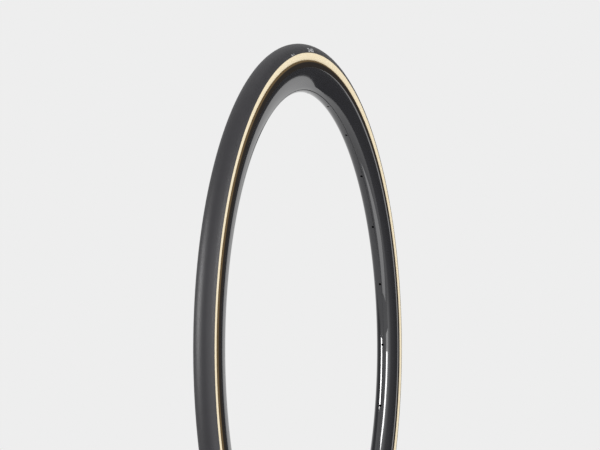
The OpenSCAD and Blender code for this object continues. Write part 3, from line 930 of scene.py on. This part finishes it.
class TIRE_OT_inside(bpy.types.Operator):
    """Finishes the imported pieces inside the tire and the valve"""

    bl_idname = "tire.inside"
    bl_label = "Inside pieces"

    def execute(self, context):
        scene = context.scene
        colours, centre = scene.tire_colours, tire_section(scene.tire_sizes)[1]
        # Butyl rubber: black-grey and dull, dusted with talc.
        butyl = moulded("butyl_rubber_moulded", colours.butyl, 1.8, 0.6, 0.5 * MM)
        finishes = {
            # Aramid belt cloth, threads 0.6 mm apart.
            "puncture_belt": woven("aramid_belt_woven", colours.belt, 0.6 * MM, centre),
            # Aramid cord wound into a ring, strands 0.5 mm apart.
            "bead_core_left": woven("aramid_bead_cord", colours.bead_cord, 0.5 * MM, centre),
            # Nylon chafer cloth, threads 0.4 mm apart.
            "chafer_left": woven("nylon_chafer_woven", colours.chafer, 0.4 * MM, centre),
            # Nylon tape: smooth and slightly shiny.
            "rim_tape": moulded("nylon_tape_pressed", colours.tape, 1.2, 0.35, 0.4 * MM),
            # Brass pin, drawn and bright.
            "valve_pin": turned_metal("brass_pin_drawn", colours.brass, 0.22, valve_tilt(scene.rim_sizes)),
        }
        for name in ("inner_tube", "valve_foot", "core_gasket", "pin_seal", "rim_nut_seal"):
            finishes[name] = butyl
        finishes["bead_core_right"] = finishes["bead_core_left"]
        finishes["chafer_right"] = finishes["chafer_left"]
        for name, finish in finishes.items():
            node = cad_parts[name]
            for slot in node.material_slots:
                slot.material = finish
            if not node.material_slots:
                node.data.materials.append(finish)
        return {"FINISHED"}


class TIRE_OT_stage(bpy.types.Operator):
    """Sets the camera, the floor, the pale surround and the lamps"""

    bl_idname = "tire.stage"
    bl_label = "Stage"

    def execute(self, context):
        scene = context.scene
        scene.view_settings.view_transform = "Standard"
        for part in (self.camera, self.surround, self.floor, self.lamps, self.flags):
            part(scene)
        return {"FINISHED"}

    def camera(self, scene):
        """The camera stands before the right side, almost level, and is turned a little up and aside."""
        # Its way round the wheel and below level, then its own turns up, aside and over, in degrees.
        round_wheel, below = -71.474, 0.364
        up, aside, over = 2.628, 0.185, 0.143
        distance = 2.9447
        lens = bpy.data.cameras.new("camera")
        lens.sensor_width = 36
        lens.lens = 159.74
        lens.clip_end = 50
        camera = bpy.data.objects.new("camera", lens)
        place = turned(round_wheel, "Z") @ turned(90 + below, "X") @ Matrix.Translation((0, 0, distance))
        camera.matrix_world = place @ turned(up, "X") @ turned(aside, "Y") @ turned(over, "Z")
        scene.collection.objects.link(camera)
        scene.camera = camera

    def surround(self, scene):
        """Pale studio paper all round, for the camera and the reflections, and soft light from it."""
        scene.world = bpy.data.worlds.new("studio")
        scene.world.use_nodes = True
        tree = scene.world.node_tree
        tree.nodes.clear()
        rays = add(tree, "ShaderNodeLightPath").outputs
        seen = rays["Is Camera Ray"]
        for kind in ("Is Glossy Ray", "Is Transmission Ray"):
            seen = add(tree, "ShaderNodeMath", {0: seen, 1: rays[kind]}, operation="MAXIMUM")
        paper = add(tree, "ShaderNodeBackground", {"Color": linear(scene.tire_colours.backdrop)})
        light = add(tree, "ShaderNodeBackground", {"Color": WHITE, "Strength": 0.84})
        mixed = add(tree, "ShaderNodeMixShader", {0: seen, 1: light, 2: paper})
        add(tree, "ShaderNodeOutputWorld", {"Surface": mixed})

    def floor(self, scene):
        """A round of pale paper just under the wheel that thins out to nothing."""
        under = (0, 0, CAD_BOX[0][2] - 0.05 * MM)
        floor = primitive("circle", "floor", vertices=96, radius=2.6, fill_type="NGON", location=under)
        made, tree = new_material("studio_paper")
        place = add(tree, "ShaderNodeTexCoord").outputs["Object"]
        flat = add(tree, "ShaderNodeVectorMath", {0: place, 1: (1, 1, 0)}, operation="MULTIPLY")
        away = add(tree, "ShaderNodeVectorMath", {0: flat}, operation="LENGTH").outputs["Value"]
        ends = {"Value": away, "From Min": 1.2, "From Max": 2.5}
        fade = add(tree, "ShaderNodeMapRange", ends, interpolation_type="SMOOTHSTEP")
        paper = add(tree, "ShaderNodeBsdfDiffuse", {"Color": linear(scene.tire_colours.floor)})
        clear = add(tree, "ShaderNodeBsdfTransparent")
        finish_material(made, add(tree, "ShaderNodeMixShader", {0: fade, 1: paper, 2: clear}))
        floor.data.materials.append(made)

    def lamps(self, scene):
        """Soft boxes, each by its place, size and brightness, turned to the wheel."""
        for name, place, size, radiance in (
            ("left_box", (-1.0, 0.78, 0.25), (0.36, 0.72), 24),
            ("key_box", (-2.4, -3.36, 0.8), (2.56, 2.56), 2.3),
        ):
            lamp = bpy.data.lights.new(name, "AREA")
            lamp.shape = "RECTANGLE"
            lamp.size, lamp.size_y = size
            lamp.energy = radiance * math.pi * size[0] * size[1]
            box = bpy.data.objects.new(name, lamp)
            box.location = place
            box.rotation_euler = Vector(place).to_track_quat("Z", "Y").to_euler()
            # The left box stands close to the floor and is there for the gloss alone.
            box.visible_diffuse = name != "left_box"
            scene.collection.objects.link(box)

    def flags(self, scene):
        """What only the gloss shows: cloths beside the paper, and cards near the wheel."""
        self.cloth("right_cloth", -17.9, -108, 0.08, 1.6, 2.0)
        self.cloth("left_cloth", 130, 78, 0.28, 0, 1)
        self.card("white_card", (-0.1, -0.44, 0.15), (0.28, 0, -0.1), (0.19, 0.3), 18)
        self.card("low_card", (-0.15, -0.55, -0.33), (-0.15, -0.55, 1), (0.8, 0.7), 2.3)

    def card(self, name, place, towards, size, strength):
        """A card that faces a point and shows evenly bright."""
        card = primitive("plane", name, size=1)
        card.location, card.scale = place, (*size, 1)
        card.rotation_euler = (Vector(place) - Vector(towards)).to_track_quat("Z", "Y").to_euler()
        self.gloss_only(settle(card), *new_material(name), strength)

    def cloth(self, name, start, end, dark, light, power):
        """A tall curved cloth between two directions, in degrees; it gets lighter along the way."""
        tall = {"radius": 5, "depth": 9, "location": (0, 0, 1.5)}
        cloth = primitive("cylinder", name, vertices=180, end_fill_type="NOTHING", **tall)
        with editing(cloth):
            for turn, way in ((start, -1), (end, 1)):
                across = math.radians(turn + 90)
                beyond = (-way * math.cos(across), -way * math.sin(across), 0)
                bpy.ops.mesh.bisect(plane_co=(0, 0, 0), plane_no=beyond, clear_outer=True)
                select_all()
        made, tree = new_material(name)
        place = add(tree, "ShaderNodeTexCoord").outputs["Object"]
        parts = add(tree, "ShaderNodeSeparateXYZ", {0: place}).outputs
        bearing = add(tree, "ShaderNodeMath", {0: parts["Y"], 1: parts["X"]}, operation="ARCTAN2")
        between = {"Value": bearing, "From Min": math.radians(start), "From Max": math.radians(end)}
        along = add(tree, "ShaderNodeMapRange", between)
        rise = add(tree, "ShaderNodeMath", {0: along, 1: power}, operation="POWER")
        level = add(tree, "ShaderNodeMath", {0: rise, 1: light, 2: dark}, operation="MULTIPLY_ADD")
        self.gloss_only(cloth, made, tree, level)

    def gloss_only(self, piece, made, tree, strength):
        """Makes a piece glow for the gloss alone."""
        finish_material(made, add(tree, "ShaderNodeEmission", {"Color": WHITE, "Strength": strength}))
        piece.data.materials.append(made)
        for ray in ("camera", "diffuse", "transmission", "shadow", "volume_scatter"):
            setattr(piece, "visible_" + ray, False)


class TIRE_PT_panel(bpy.types.Panel):
    """Lists the pieces"""

    bl_idname = "TIRE_PT_panel"
    bl_label = "Bicycle tire"
    bl_space_type = "VIEW_3D"
    bl_region_type = "UI"
    bl_category = "Tire"

    def draw(self, context):
        for step in STEPS:
            self.layout.operator(step.bl_idname)


STEPS = (
    TIRE_OT_stage,
    TIRE_OT_tread,
    TIRE_OT_casing,
    TIRE_OT_size_mark,
    TIRE_OT_rim,
    TIRE_OT_valve_stem,
    TIRE_OT_valve_core,
    TIRE_OT_inside,
)
GROUPS = {
    "tire_sizes": TireSizes,
    "rim_sizes": RimSizes,
    "valve_sizes": ValveSizes,
    "tire_colours": TireColours,
}
CLASSES = (*GROUPS.values(), *STEPS, TIRE_PT_panel)


def register():
    for each in CLASSES:
        bpy.utils.register_class(each)
    for name, group in GROUPS.items():
        setattr(bpy.types.Scene, name, bpy.props.PointerProperty(type=group))


def unregister():
    for name in GROUPS:
        delattr(bpy.types.Scene, name)
    for each in reversed(CLASSES):
        bpy.utils.unregister_class(each)


def main():
    register()
    for step in STEPS:
        group, name = step.bl_idname.split(".")
        getattr(getattr(bpy.ops, group), name)()


if __name__ == "__main__":
    main()
